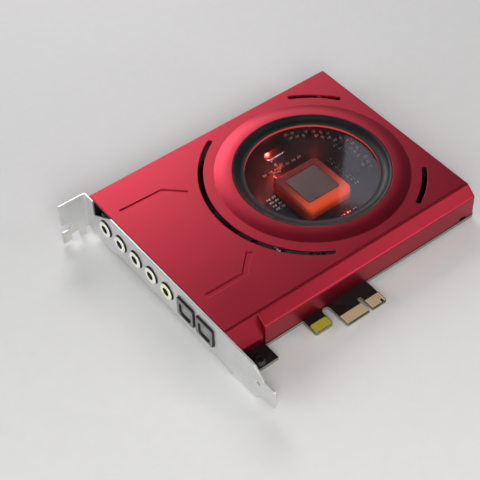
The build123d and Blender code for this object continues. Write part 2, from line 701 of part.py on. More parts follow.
# Optical ports: a moulded socket through the bracket, a sprung shutter hinged under its roof and the
# optical module at the back
for n, y in enumerate(port_places, start=1):
    with BuildPart() as optical_body:
        with Locations((x_port, y, z_board)):
            Box(x_port_back - x_port, port_width, port_height, align=(Align.MIN, Align.CENTER, Align.MIN))
        chamfer(optical_body.edges().filter_by(Axis.X), port_chamfer)
        with BuildSketch(Plane.YZ.offset(x_port)):
            with Locations((y, z_mouth_floor)):
                mouth = Rectangle(mouth_width, mouth_height, align=(Align.CENTER, Align.MIN))
            chamfer(mouth.vertices().group_by(Axis.Y)[0], mouth_key)
        extrude(amount=module_pocket - x_port, mode=Mode.SUBTRACT)
        with Locations((x_port + mouth_frame, y, z_mouth_floor)):
            Box(module_pocket - x_port - mouth_frame, socket_width, z_socket_roof - z_mouth_floor,
                mode=Mode.SUBTRACT, align=(Align.MIN, Align.CENTER, Align.MIN))
        with Locations((module_pocket, y, z_board)):
            Box(x_port_back - module_pocket, module_width + 2 * module_gap, module_height + module_gap,
                mode=Mode.SUBTRACT, align=(Align.MIN, Align.CENTER, Align.MIN))
        with Locations((x_hinge, y, z_hinge)):
            Box(2 * pin_radius + 2 * pin_gap, socket_width + 2 * pin_reach + 2 * pin_gap,
                2 * pin_radius + 2 * pin_gap, mode=Mode.SUBTRACT)
    write(optical_body, f"optical_{n}_body")

    with BuildPart() as optical_shutter:
        with Locations((x_hinge, y, z_hinge)):
            Box(shutter_thickness, shutter_width, shutter_drop, align=(Align.CENTER, Align.CENTER, Align.MAX))
        with Locations((x_hinge, y, z_hinge)):
            Box(4 * pin_radius, spring_width + 2 * spring_side_gap, 2 * spring_notch, mode=Mode.SUBTRACT)
        with Locations(Location((x_hinge, y, z_hinge), (90, 0, 0))):
            Cylinder(pin_radius, socket_width + 2 * pin_reach)
    write(optical_shutter, f"optical_{n}_shutter")

    x_seat = x_hinge + shutter_thickness / 2 + spring_seat_gap + spring_strip / 2
    with BuildPart() as optical_spring:
        with BuildSketch(Plane.XZ.offset(-y)):
            with BuildLine():
                strip = Polyline((x_hinge + spring_leg, z_hinge + spring_radius),
                                 (x_hinge - spring_radius / 2, z_hinge + spring_radius),
                                 (x_hinge - spring_radius, z_hinge + spring_radius / 2),
                                 (x_hinge - spring_radius, z_hinge - spring_radius / 2),
                                 (x_hinge - spring_radius / 2, z_hinge - spring_radius),
                                 (x_seat, z_hinge - spring_notch + spring_strip),
                                 (x_seat, z_hinge - spring_leg))
                offset(strip, amount=spring_strip / 2, kind=Kind.INTERSECTION, mode=Mode.REPLACE)
            make_face()
        extrude(amount=spring_width / 2, both=True)
    write(optical_spring, f"optical_{n}_spring")

    with BuildPart() as optical_module:
        with Locations((x_module, y, z_board)):
            Box(module_depth, module_width, module_height, align=(Align.MIN, Align.CENTER, Align.MIN))
        with BuildSketch(Plane.YZ.offset(x_module)):
            with Locations((y, z_lens)):
                Circle(lens_radius)
        extrude(amount=-lens_length)
        for k in (-1, 0, 1):
            with Locations((x_module + module_pin, y + k * module_pin_pitch, z_board)):
                Box(module_pin, module_pin, board_thickness + leg_reach,
                    align=(Align.CENTER, Align.CENTER, Align.MAX))
    write(optical_module, f"optical_{n}_module")

# Electrolytic capacitors: aluminium cans on moulded bases with two cut corners
with BuildPart() as capacitor_bases:
    for x, y, z in behind_jacks(capacitor_places):
        with BuildSketch(Plane.XY.offset(z)):
            with Locations((x, y)):
                base = Rectangle(capacitor_base, capacitor_base)
            chamfer(base.vertices().group_by(Axis.X)[-1], capacitor_chamfer)
        extrude(amount=capacitor_base_height)
write(capacitor_bases, "capacitor_bases")

with BuildPart() as capacitor_cans:
    for x, y, z in behind_jacks(capacitor_places):
        with Locations((x, y, z + capacitor_base_height)):
            Cylinder(capacitor_radius, capacitor_height, align=ON_BOARD)
write(capacitor_cans, "capacitor_cans")

# Amplifier and converter chips, and the codec in a leadless package
with BuildPart() as op_amps:
    with Locations(*behind_jacks(op_amp_places)):
        Box(*op_amp_size, align=ON_BOARD)
write(op_amps, "op_amps")

with BuildPart() as converter_chips:
    with Locations(*behind_jacks(converter_places)):
        Box(*converter_size, align=ON_BOARD)
write(converter_chips, "converter_chips")

with BuildPart() as codec_chip:
    with Locations(*behind_jacks((codec_place,))):
        Box(*codec_size, align=ON_BOARD)
    chamfer(codec_chip.edges().group_by(Axis.Z)[-1], codec_chamfer)
write(codec_chip, "codec_chip")

# Output relays in sealed cases
with BuildPart() as output_relays:
    with Locations(*behind_jacks(relay_places)):
        Box(*relay_size, align=ON_BOARD)
    chamfer(output_relays.edges().group_by(Axis.Z)[-1], relay_chamfer)
write(output_relays, "output_relays")

# Crystal in a low oval can
with BuildPart() as crystal:
    with BuildSketch(Plane.XY.offset(z_board)):
        with Locations((x_window + crystal_shift, y_window + frame_size / 2 + crystal_to_frame)):
            SlotOverall(crystal_length, crystal_width)
    extrude(amount=crystal_height)
write(crystal, "crystal")

# Voltage regulators with a wide tab on one side and three leads on the other
with BuildPart() as voltage_regulators:
    for x, y, z in at_far_end(regulator_places):
        with Locations((x, y, z)):
            Box(*regulator_size, align=ON_BOARD)
        with Locations((x, y + regulator_size[1] / 2, z)):
            Box(*regulator_tab, align=(Align.CENTER, Align.MIN, Align.MIN))
        with Locations((x, y - regulator_size[1] / 2, z)):
            with GridLocations(regulator_pitch, 0, 3, 1):
                Box(regulator_lead_width, 2 * regulator_tab[1], regulator_tab[2], align=ON_BOARD)
write(voltage_regulators, "voltage_regulators")

# Shielded inductors
with BuildPart() as power_inductors:
    for x, y, z in at_far_end(inductor_places):
        with BuildSketch(Plane.XY.offset(z)):
            with Locations((x, y)):
                inductor = Rectangle(inductor_size, inductor_size)
            chamfer(inductor.vertices(), inductor_corner)
        extrude(amount=inductor_height)
write(power_inductors, "power_inductors")

# Small ceramic capacitors and resistors in rows beside the light frame
for label, rows, size in (("smd_capacitors", small_capacitor_rows, small_capacitor_size),
                          ("smd_resistors", small_resistor_rows, small_resistor_size)):
    with BuildPart() as small_parts:
        for (side_x, side_y), gap, shift, pitch, count in rows:
            reach_x = frame_size / 2 + gap + ((count[0] - 1) * pitch[0] + size[0]) / 2
            reach_y = frame_size / 2 + gap + ((count[1] - 1) * pitch[1] + size[1]) / 2
            middle_x = x_window + side_x * reach_x + abs(side_y) * shift
            middle_y = y_window + side_y * reach_y + abs(side_x) * shift
            with Locations((middle_x, middle_y, z_board)):
                with GridLocations(*pitch, *count):
                    Box(*size, align=ON_BOARD)
    write(small_parts, label)
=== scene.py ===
import bmesh
import bpy
from math import cos, hypot, pi, radians, sin
from mathutils import Matrix, Vector


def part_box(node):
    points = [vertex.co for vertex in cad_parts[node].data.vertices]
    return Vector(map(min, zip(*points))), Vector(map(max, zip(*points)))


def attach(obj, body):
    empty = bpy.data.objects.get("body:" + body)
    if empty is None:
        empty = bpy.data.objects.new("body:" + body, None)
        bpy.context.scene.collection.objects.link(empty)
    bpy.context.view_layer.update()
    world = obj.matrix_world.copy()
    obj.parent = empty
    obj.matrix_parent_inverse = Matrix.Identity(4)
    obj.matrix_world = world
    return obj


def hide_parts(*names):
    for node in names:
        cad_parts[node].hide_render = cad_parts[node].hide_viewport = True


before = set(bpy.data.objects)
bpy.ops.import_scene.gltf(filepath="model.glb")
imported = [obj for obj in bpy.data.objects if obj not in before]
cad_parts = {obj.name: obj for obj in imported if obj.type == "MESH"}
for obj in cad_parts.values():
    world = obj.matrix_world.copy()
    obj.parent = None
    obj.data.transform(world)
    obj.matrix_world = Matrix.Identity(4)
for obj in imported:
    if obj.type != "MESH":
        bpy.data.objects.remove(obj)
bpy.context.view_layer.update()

# Circuit board: a glass laminate under black solder mask, with fine copper tracks that show through it as
# low ridges. It is routed to its outline, so its cut edges show the bare laminate. All else is soldered
# or screwed to it.
MM = 0.001


def place(tree, kind, inputs=None, **settings):
    """Adds a node, sets it up, and links or sets its inputs by name or number."""
    node = tree.nodes.new(kind)
    for name, value in settings.items():
        setattr(node, name, value)
    for name, value in (inputs or {}).items():
        if isinstance(value, bpy.types.NodeSocket):
            tree.links.new(value, node.inputs[name])
        else:
            node.inputs[name].default_value = value
    return node


def calc(tree, operation, first, second=0.0):
    """One step of arithmetic in a node tree."""
    return place(tree, "ShaderNodeMath", {0: first, 1: second}, operation=operation).outputs[0]


def between(tree, factor, first, second):
    """A number that goes from the first to the second as the factor rises."""
    return place(tree, "ShaderNodeMix", {0: factor, 2: first, 3: second}).outputs[0]


def mixed(tree, factor, first, second):
    """A colour that goes from the first to the second as the factor rises."""
    return place(tree, "ShaderNodeMix", {0: factor, 6: first, 7: second}, data_type="RGBA").outputs[2]


def rising(tree, value, low, high, start=0.0, end=1.0):
    """A number that goes from start to end as the value goes from low to high."""
    return place(tree, "ShaderNodeMapRange", {"Value": value, "From Min": low, "From Max": high,
                                              "To Min": start, "To Max": end}).outputs[0]


def spot_on(tree):
    """The place on the piece, in the card's own frame."""
    return place(tree, "ShaderNodeTexCoord").outputs["Object"]


def along_axes(tree, vector):
    """A vector's numbers along x, y and z."""
    return place(tree, "ShaderNodeSeparateXYZ", {0: vector}).outputs


def facing(tree):
    """The way the surface faces, along x, y and z."""
    return along_axes(tree, place(tree, "ShaderNodeNewGeometry").outputs["Normal"])


def effect(name, inputs, outputs):
    """Starts a shader node group with named inputs and number outputs."""
    group = bpy.data.node_groups.new(name, "ShaderNodeTree")
    for label, value in inputs.items():
        kind = "NodeSocketVector" if isinstance(value, tuple) else "NodeSocketFloat"
        group.interface.new_socket(label, in_out="INPUT", socket_type=kind).default_value = value
    for label in outputs:
        group.interface.new_socket(label, in_out="OUTPUT", socket_type="NodeSocketFloat")
    return group, group.nodes.new("NodeGroupInput").outputs, group.nodes.new("NodeGroupOutput").inputs


# Grain: soft patches of tone with a fine tooth, for moulded, painted and coated surfaces
grain, given, out = effect("grain", {"Patch": 60.0, "Tooth": 4000.0}, ("Tone", "Height"))
spot = spot_on(grain)
patch = place(grain, "ShaderNodeTexNoise", {"Vector": spot, "Scale": given["Patch"], "Detail": 3.0})
tooth = place(grain, "ShaderNodeTexNoise", {"Vector": spot, "Scale": given["Tooth"], "Detail": 2.0})
grain.links.new(between(grain, 0.4, patch.outputs[0], tooth.outputs[0]), out["Tone"])
grain.links.new(tooth.outputs[0], out["Height"])

# Drawn: long thin streaks along one direction, for rolled, turned and plated metal
drawn, given, out = effect("drawn", {"Stretch": (3000.0, 80.0, 3000.0)}, ("Tone", "Height"))
spot = spot_on(drawn)
long = place(drawn, "ShaderNodeVectorMath", {0: spot, 1: given["Stretch"]}, operation="MULTIPLY")
streak = place(drawn, "ShaderNodeTexNoise", {"Vector": long.outputs[0], "Scale": 1.0, "Detail": 4.0})
cloud = place(drawn, "ShaderNodeTexNoise", {"Vector": spot, "Scale": 70.0, "Detail": 2.0})
drawn.links.new(between(drawn, 0.45, streak.outputs[0], cloud.outputs[0]), out["Tone"])
drawn.links.new(streak.outputs[0], out["Height"])


def finish(name, tones, rough, group, values, lift, plain=None):
    """A procedural finish: the group's tone moves the colour between two tones and the roughness within
    a range, and its height lifts the surface by so many millimetres. Plain values go to the shader."""
    material = bpy.data.materials.new(name)
    material.use_nodes = True
    tree = material.node_tree
    shader = tree.nodes["Principled BSDF"]
    for label, value in (plain or {}).items():
        shader.inputs[label].default_value = value
    pattern = place(tree, "ShaderNodeGroup", values, node_tree=group).outputs
    tone = rising(tree, pattern["Tone"], 0.3, 0.7)
    bump = place(tree, "ShaderNodeBump", {"Height": pattern["Height"], "Distance": lift * MM}).outputs[0]
    tree.links.new(mixed(tree, tone, (*tones[0], 1), (*tones[1], 1)), shader.inputs["Base Color"])
    tree.links.new(rising(tree, tone, 0.0, 1.0, *rough), shader.inputs["Roughness"])
    tree.links.new(bump, shader.inputs["Normal"])
    return material


def dress(material, *names):
    """Gives CAD nodes their finish through their objects' material slots."""
    for name in names:
        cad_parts[name].material_slots[0].material = material


areas_per_metre = 130.0
tracks_per_metre = 1600.0
holes_per_metre = 240.0
upright_above = 0.5
slanted_above = 0.72
bare_below = 0.35
track_edges = (0.50, 0.62)
hole_edges = (0.06, 0.09)
track_height = 0.03 * MM
track_tone = (0.020, 0.018, 0.020, 1)
laminate_tone = (0.20, 0.19, 0.16, 1)
board_black = finish("board_black", ((0.0045, 0.0042, 0.0048), (0.011, 0.0100, 0.0115)), (0.42, 0.55),
                     grain, {"Patch": 90.0, "Tooth": 2500.0}, 0.004, {"Specular IOR Level": 0.2})
tree = board_black.node_tree
shader = tree.nodes["Principled BSDF"]
masked = shader.inputs["Base Color"].links[0].from_socket
toothed = shader.inputs["Normal"].links[0].from_socket
spot = spot_on(tree)
at = along_axes(tree, spot)
area = place(tree, "ShaderNodeTexVoronoi", {"Vector": spot, "Scale": areas_per_metre}, distance="MANHATTAN",
             voronoi_dimensions="2D")
chance = along_axes(tree, area.outputs["Color"])
upright = calc(tree, "GREATER_THAN", chance[0], upright_above)
straight = between(tree, upright, at[0], at[1])
slanted = between(tree, upright, calc(tree, "ADD", at[0], at[1]), calc(tree, "SUBTRACT", at[0], at[1]))
route = between(tree, calc(tree, "GREATER_THAN", chance[1], slanted_above), straight,
                calc(tree, "MULTIPLY", slanted, 0.707))
across_pitch = calc(tree, "FRACT", calc(tree, "MULTIPLY", route, tracks_per_metre))
track = calc(tree, "MULTIPLY", rising(tree, across_pitch, *track_edges),
             calc(tree, "GREATER_THAN", chance[2], bare_below))
hole = place(tree, "ShaderNodeTexVoronoi", {"Vector": spot, "Scale": holes_per_metre},
             voronoi_dimensions="2D")
copper = calc(tree, "MAXIMUM", track, rising(tree, hole.outputs["Distance"], *hole_edges, 1.0, 0.0))
level = rising(tree, calc(tree, "ABSOLUTE", facing(tree)[2]), 0.4, 0.8)
tracked = mixed(tree, copper, masked, track_tone)
tree.links.new(mixed(tree, level, laminate_tone, tracked), shader.inputs["Base Color"])
ridge = place(tree, "ShaderNodeBump", {"Height": copper, "Distance": track_height, "Normal": toothed})
tree.links.new(ridge.outputs[0], shader.inputs["Normal"])
dress(board_black, "circuit_board")

# Contact fingers and retention pads: copper plated with hard gold over nickel, so a pale yellow metal
# with fine wiping marks along the way the card slides into its slot.
wiped = {"Stretch": (4000.0, 200.0, 4000.0)}
gold_plate = finish("gold_plate", ((0.86, 0.64, 0.34), (0.98, 0.82, 0.54)), (0.28, 0.42), drawn, wiped,
                    0.002, {"Metallic": 0.2})
dress(gold_plate, "edge_fingers_front", "edge_fingers_back")
pad_gold = finish("pad_gold", ((0.44, 0.41, 0.04), (0.58, 0.54, 0.07)), (0.28, 0.42), drawn, wiped,
                  0.002, {"Metallic": 0.2})
dress(pad_gold, "tongue_pads")

# Chips: epoxy moulded round a lead frame, black with a fine matt tooth from the mould. The leads are
# stamped and bent in a gull-wing, tinned, and soldered flat to the board.
epoxy = finish("epoxy", ((0.010, 0.010, 0.011), (0.028, 0.028, 0.03)), (0.5, 0.7), grain,
               {"Patch": 300.0, "Tooth": 9000.0}, 0.006)
dress(epoxy, "audio_processor", "op_amps", "converter_chips", "codec_chip", "voltage_regulators")
tin = finish("tin", ((0.50, 0.50, 0.51), (0.78, 0.78, 0.79)), (0.22, 0.4), grain,
             {"Patch": 900.0, "Tooth": 5000.0}, 0.004, {"Metallic": 1.0})


def growth(name, sizes):
    """Starts a node tree that puts a shape on points, with named sizes as its inputs."""
    tree = bpy.data.node_groups.new(name, "GeometryNodeTree")
    tree.interface.new_socket("Geometry", in_out="INPUT", socket_type="NodeSocketGeometry")
    for label, value in sizes.items():
        socket = tree.interface.new_socket(label, in_out="INPUT", socket_type="NodeSocketFloat")
        socket.default_value = value
    tree.interface.new_socket("Geometry", in_out="OUTPUT", socket_type="NodeSocketGeometry")
    return tree, tree.nodes.new("NodeGroupInput").outputs


def triple(tree, values):
    """A vector of three numbers or sockets."""
    return place(tree, "ShaderNodeCombineXYZ", dict(enumerate(values))).outputs[0]


def moved(tree, shape, offset):
    """A shape moved by three numbers or sockets."""
    return place(tree, "GeometryNodeTransform", {"Geometry": shape,
                                                 "Translation": triple(tree, offset)}).outputs[0]


def block(tree, size, offset):
    """A cuboid of a size, moved to its place."""
    cube = place(tree, "GeometryNodeMeshCube", {"Size": triple(tree, size)})
    return moved(tree, cube.outputs[0], offset)


def on_points(tree, points, shapes, *materials):
    """Joins shapes, puts them on the points by their turn, and gives each shape its material."""
    joined = tree.nodes.new("GeometryNodeJoinGeometry")
    for number, shape in reversed(list(enumerate(shapes))):
        marked = place(tree, "GeometryNodeStoreNamedAttribute",
                       {"Geometry": shape, "Name": "part", "Value": number}, data_type="INT", domain="FACE")
        tree.links.new(marked.outputs[0], joined.inputs[0])
    turn = place(tree, "GeometryNodeInputNamedAttribute", {"Name": "turn"}, data_type="FLOAT").outputs[0]
    copies = place(tree, "GeometryNodeInstanceOnPoints", {"Points": points, "Instance": joined.outputs[0],
                                                          "Rotation": triple(tree, (0.0, 0.0, turn))})
    result = place(tree, "GeometryNodeRealizeInstances", {0: copies.outputs[0]}).outputs[0]
    part = place(tree, "GeometryNodeInputNamedAttribute", {"Name": "part"}, data_type="INT").outputs[0]
    for number, material in enumerate(materials):
        chosen = place(tree, "FunctionNodeCompare", {2: part, 3: number}, data_type="INT",
                       operation="EQUAL").outputs[0]
        result = place(tree, "GeometryNodeSetMaterial", {"Geometry": result, "Selection": chosen,
                                                         "Material": material}).outputs[0]
    end = tree.nodes.new("NodeGroupOutput")
    tree.links.new(result, end.inputs[0])


def linked(name, data):
    """Puts an object with this data into the scene."""
    made = bpy.data.objects.new(name, data)
    bpy.context.collection.objects.link(made)
    return made


def hardened(worked, name):
    """Keeps what an object's modifiers make of it as a plain mesh, in that object's place."""
    blank = worked.data
    mesh = bpy.data.meshes.new_from_object(worked.evaluated_get(bpy.context.evaluated_depsgraph_get()))
    bpy.data.objects.remove(worked)
    bpy.data.meshes.remove(blank)
    mesh.name = name
    return linked(name, mesh)


def grow(name, tree, spots, sizes):
    """Runs a tree on places with turns, and keeps the result as a piece on the card."""
    seeds = bpy.data.meshes.new(name)
    seeds.from_pydata([spot for spot, _ in spots], [], [])
    seeds.attributes.new("turn", "FLOAT", "POINT").data.foreach_set("value", [turn for _, turn in spots])
    seed = linked(name, seeds)
    modifier = seed.modifiers.new("grow", "NODES")
    modifier.node_group = tree
    for item in tree.interface.items_tree:
        if item.in_out == "INPUT" and item.name in sizes:
            modifier[item.identifier] = sizes[item.name]
    piece = hardened(seed, name)
    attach(piece, "card")
    return piece


def islands(node):
    """The middle and size of each separate solid of a CAD node."""
    form = bmesh.new()
    form.from_mesh(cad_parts[node].data)
    bmesh.ops.remove_doubles(form, verts=form.verts, dist=0.001 * MM)
    left = set(form.verts)
    found = []
    while left:
        solid = set()
        front = [left.pop()]
        while front:
            vert = front.pop()
            solid.add(vert)
            near = {edge.other_vert(vert) for edge in vert.link_edges} & left
            left -= near
            front.extend(near)
        low = Vector([min(v.co[i] for v in solid) for i in range(3)])
        high = Vector([max(v.co[i] for v in solid) for i in range(3)])
        found.append(((low + high) / 2, high - low))
    form.free()
    return sorted(found, key=lambda item: (round(item[0].x, 6), round(item[0].y, 6)))


lead, given = growth("gull_wing_lead", {"Width": 0.4 * MM, "Thickness": 0.18 * MM, "Rise": 0.6 * MM,
                                        "Reach": 1.0 * MM})
foot_share = 0.6
foot = calc(lead, "MULTIPLY", given["Reach"], foot_share)
foot_middle = calc(lead, "SUBTRACT", given["Reach"], calc(lead, "MULTIPLY", foot, 0.5))
half = calc(lead, "MULTIPLY", given["Thickness"], 0.5)
mid_rise = calc(lead, "MULTIPLY", given["Rise"], 0.5)
shoulder = calc(lead, "MULTIPLY", given["Reach"], 0.5)
shoulder_middle = calc(lead, "MULTIPLY", shoulder, 0.5)
shoulder_rise = calc(lead, "SUBTRACT", given["Rise"], half)
on_points(lead, given["Geometry"],
          [block(lead, (foot, given["Width"], given["Thickness"]), (foot_middle, 0.0, half)),
           block(lead, (given["Thickness"], given["Width"], given["Rise"]), (shoulder, 0.0, mid_rise)),
           block(lead, (shoulder, given["Width"], given["Thickness"]),
                 (shoulder_middle, 0.0, shoulder_rise))],
          tin, tin, tin)
board_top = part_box("circuit_board")[1][2]
lead_spots = []
for node, count, pitch in (("op_amps", 4, 1.27 * MM), ("converter_chips", 10, 0.9 * MM)):
    for middle, size in islands(node):
        for side, turn in ((1, 0.0), (-1, pi)):
            for number in range(count):
                y = middle.y + (number - (count - 1) / 2) * pitch
                lead_spots.append(((middle.x + side * size.x / 2, y, board_top), turn))
grow("chip_leads", lead, lead_spots, {})

# Electrolytic capacitors: drawn aluminium cans, each crimped onto a moulded base and soldered to the board
# by two flat leads. The power inductors are moulded blocks of the same black.
turned = {"Stretch": (500.0, 500.0, 3000.0)}
can_metal = finish("can_metal", ((0.50, 0.50, 0.51), (0.75, 0.75, 0.76)), (0.25, 0.45), drawn, turned,
                   0.002, {"Metallic": 1.0})
dress(can_metal, "capacitor_cans")
moulded = finish("moulded", ((0.010, 0.010, 0.011), (0.026, 0.026, 0.028)), (0.38, 0.55), grain,
                 {"Patch": 150.0, "Tooth": 6000.0}, 0.008)
dress(moulded, "capacitor_bases", "power_inductors")

# Relays: sealed cases of pale moulded resin over a coil and its contacts. They stand on the board behind
# the optical ports, soldered in by their pins.
relay_resin = finish("relay_resin", ((0.55, 0.52, 0.43), (0.75, 0.72, 0.62)), (0.4, 0.55), grain,
                     {"Patch": 150.0, "Tooth": 6000.0}, 0.006)
dress(relay_resin, "output_relays")

# Chip capacitors and resistors: fired ceramic blocks with tinned ends, soldered flat to the board. They
# stand in rows round the processor, with others along the window's edge and under the vents.
ceramic = finish("ceramic", ((0.16, 0.10, 0.06), (0.30, 0.21, 0.13)), (0.3, 0.45), grain,
                 {"Patch": 900.0, "Tooth": 9000.0}, 0.003)
resistor_coat = finish("resistor_coat", ((0.012, 0.012, 0.014), (0.03, 0.03, 0.034)), (0.2, 0.35), grain,
                       {"Patch": 900.0, "Tooth": 9000.0}, 0.003)
body_share = 0.94


def chip_part(name, coat):
    """A tree for chip parts: a ceramic body, a little slimmer than the two tinned ends that hold it."""
    tree, given = growth(name, {"Length": 1.6 * MM, "Width": 0.8 * MM, "Height": 0.8 * MM,
                                "End": 0.35 * MM})
    up = calc(tree, "MULTIPLY", given["Height"], 0.5)
    length = calc(tree, "SUBTRACT", given["Length"], given["End"])
    width = calc(tree, "MULTIPLY", given["Width"], body_share)
    height = calc(tree, "MULTIPLY", given["Height"], body_share)
    body = block(tree, (length, width, height), (0.0, 0.0, up))
    ends = [block(tree, (given["End"], given["Width"], given["Height"]),
                  (calc(tree, "MULTIPLY", length, side), 0.0, up)) for side in (0.5, -0.5)]
    on_points(tree, given["Geometry"], [body, *ends], coat, tin, tin)
    return tree


capacitor_tree = chip_part("chip_capacitor", ceramic)
resistor_tree = chip_part("chip_resistor", resistor_coat)
for node, name, tree, slot in (("smd_capacitors", "chip_capacitors", capacitor_tree, "ceramic_tan"),
                               ("smd_resistors", "chip_resistors", resistor_tree, "resistor_black")):
    found = islands(node)
    length, width, height = found[0][1]
    rows = grow(name, tree, [((middle.x, middle.y, board_top), 0.0) for middle, _ in found],
                {"Length": length, "Width": width, "Height": height})
    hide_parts(node)

window_low, window_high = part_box("window")
window_x = (window_low[0] + window_high[0]) / 2
window_y = (window_low[1] + window_high[1]) / 2
through_window = (7.0, 9.5)
through_vent = (7.8, 10.6)


def arc_spots(first, last, step, radii, shift):
    """Places on arcs round the window's middle, shifted to the part of the board that shows. They lie on
    a half-millimetre grid, turned one way or the other, with every fifth place left free."""
    spots = []
    for row, radius in enumerate(radii):
        start = first + row * step / 2
        for count in range(int((last - start) / step) + 1):
            angle = radians(start + count * step)
            x = round(2 * (shift[0] + radius * cos(angle))) / 2
            y = round(2 * (shift[1] + radius * sin(angle))) / 2
            turn = pi / 2 * ((count + row) % 3 % 2)
            if (count + 2 * row) % 5 != 3:
                spots.append(((window_x + x * MM, window_y + y * MM, board_top), turn))
    return spots


chip_size = {"Length": 1.5 * MM, "Width": 0.8 * MM, "Height": 0.8 * MM}
flat_size = {**chip_size, "Height": 0.5 * MM}
rim_spots = arc_spots(-30, 78, 7.0, (26.6, 23.9), through_window)
rim_spots += arc_spots(119, 151, 9.0, (13.5, 15.5), through_window)
grow("rim_capacitors", capacitor_tree, rim_spots, chip_size)
grow("rim_resistors", resistor_tree, arc_spots(-36, 20, 9.0, (21.0,), through_window), flat_size)
vent_spots = arc_spots(213, 219, 3.4, (46.8, 48.4), through_vent)
vent_spots += arc_spots(231, 237, 2.9, (47.3,), through_vent)
vent_spots += arc_spots(-54, -45, 3.2, (46.6, 48.2), through_vent)
grow("vent_capacitors", capacitor_tree, vent_spots, chip_size)

# Processor light: a frame of translucent moulded resin over four small lamps, set on the board round the
# processor, with a dark plate flush in its top. The lamps' glow through the resin is painted on as
# emission:
# brightest along the side nearest the connector and towards its top, with painted shade on the sides facing
# the bracket.


def rounded(nodes, name, material, width, body="card", seams=(), limit=12.0):
    """A merged copy of CAD nodes with its sharp edges rounded, which stands for those nodes. The faces
    where nodes of one sheet meet, given as an axis and a level, are left out."""
    weld = 0.002 * MM
    form = bmesh.new()
    for node in nodes:
        form.from_mesh(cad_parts[node].data)
    for axis, level in seams:
        shut = [face for face in form.faces
                if all(abs(vert.co[axis] - level) < weld for vert in face.verts)]
        bmesh.ops.delete(form, geom=shut, context="FACES")
    bmesh.ops.remove_doubles(form, verts=form.verts, dist=weld)
    bmesh.ops.dissolve_limit(form, angle_limit=radians(0.3), verts=form.verts, edges=form.edges)
    blank = bpy.data.meshes.new(name)
    form.to_mesh(blank)
    form.free()
    blank.shade_smooth()
    blank.materials.append(material)
    worked = linked(name, blank)
    edge = worked.modifiers.new("edge", "BEVEL")
    edge.width = width * MM
    edge.segments = 3
    edge.limit_method = "ANGLE"
    edge.angle_limit = radians(limit)
    edge.use_clamp_overlap = False
    worked.modifiers.new("shade", "WEIGHTED_NORMAL").weight = 100
    piece = hardened(worked, name)
    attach(piece, body)
    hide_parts(*nodes)
    return piece


dim_red = (0.03, 0.001, 0.0006, 1)
bright_red = (1.0, 0.10, 0.02, 1)
fading = 2.4
painted_glow_at_foot = 0.16
bracket_side_painted_shade = 0.12
painted_glow_resin = finish("painted_glow_resin", ((0.06, 0.006, 0.004), (0.10, 0.012, 0.008)), (0.4, 0.5), grain,
                   {"Patch": 200.0, "Tooth": 2000.0}, 0.004,
                   {"Specular IOR Level": 0.15, "Emission Strength": 0.75})
tree = painted_glow_resin.node_tree
shader = tree.nodes["Principled BSDF"]
low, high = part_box("light_frame")
at = along_axes(tree, spot_on(tree))
# Painted glow and shade: the emission stands in for the lamps' light in the resin. It fades towards the
# foot and away from the connector, and the sides facing the bracket get only a small share as painted
# shade.
rise = rising(tree, at[2], low[2] + 2.0 * MM, high[2], painted_glow_at_foot, 1.0)
side = rising(tree, facing(tree)[0], -0.9, -0.1, bracket_side_painted_shade, 1.0)
along = calc(tree, "POWER", rising(tree, at[1], low[1], high[1], 1.0, 0.0), fading)
glow = calc(tree, "MULTIPLY", calc(tree, "MULTIPLY", rise, side), along)
tree.links.new(mixed(tree, glow, dim_red, bright_red), shader.inputs["Emission Color"])
rounded(["light_frame"], "glow_frame", painted_glow_resin, 0.45, limit=30)
dress(painted_glow_resin, "light_leds")
plate_dark = finish("plate_dark", ((0.030, 0.014, 0.012), (0.064, 0.032, 0.028)), (0.35, 0.5), grain,
                    {"Patch": 100.0, "Tooth": 5000.0}, 0.004)
rounded(["processor_cap"], "cap_plate", plate_dark, 0.15)

# Crystal: a drawn steel can with a rolled edge, soldered beside the processor. It is bright enough to
# catch the red light.
crystal_bright = finish("crystal_bright", ((0.62, 0.60, 0.60), (0.86, 0.85, 0.85)), (0.14, 0.26), drawn,
                        turned, 0.004, {"Metallic": 1.0})
rounded(["crystal"], "crystal_can", crystal_bright, 0.45)

# Jacks: a black moulded body soldered to the board, with a turned sleeve whose nose stands through the
# bracket. The sleeve is black on its sides, in its bore and on its mouth, and gold only on the rest of its
# front face. The last one, for the main output, is lime.
JACKS = range(1, 6)
lime_jack = 5
ring_inside = 1.9 * MM


def recoat(piece, material, belongs):
    """Gives a second finish to the faces of a piece that belong to it by their corners and direction."""
    piece.data.materials.append(material)
    for face in piece.data.polygons:
        if belongs([piece.data.vertices[i].co for i in face.vertices], face.normal):
            face.material_index = 1


turned_ring = {"Stretch": (2500.0, 300.0, 300.0)}
ring_gold = finish("ring_gold", ((0.88, 0.83, 0.68), (0.98, 0.95, 0.86)), (0.25, 0.4), drawn, turned_ring,
                   0.002, {"Metallic": 0.2})
ring_lime = finish("ring_lime", ((0.80, 0.84, 0.48), (0.92, 0.95, 0.66)), (0.25, 0.4), drawn, turned_ring,
                   0.002, {"Metallic": 0.2})
for n in JACKS:
    low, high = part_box(f"jack_{n}_sleeve")
    axis_y, axis_z = (low[1] + high[1]) / 2, (low[2] + high[2]) / 2
    ring = rounded([f"jack_{n}_sleeve"], f"jack_{n}_ring", moulded, 0.3)
    recoat(ring, ring_lime if n == lime_jack else ring_gold,
           lambda corners, way: way.x < -0.2
           and min(hypot(at.y - axis_y, at.z - axis_z) for at in corners) > ring_inside)
    dress(moulded, f"jack_{n}_body")
    dress(gold_plate, f"jack_{n}_contacts")

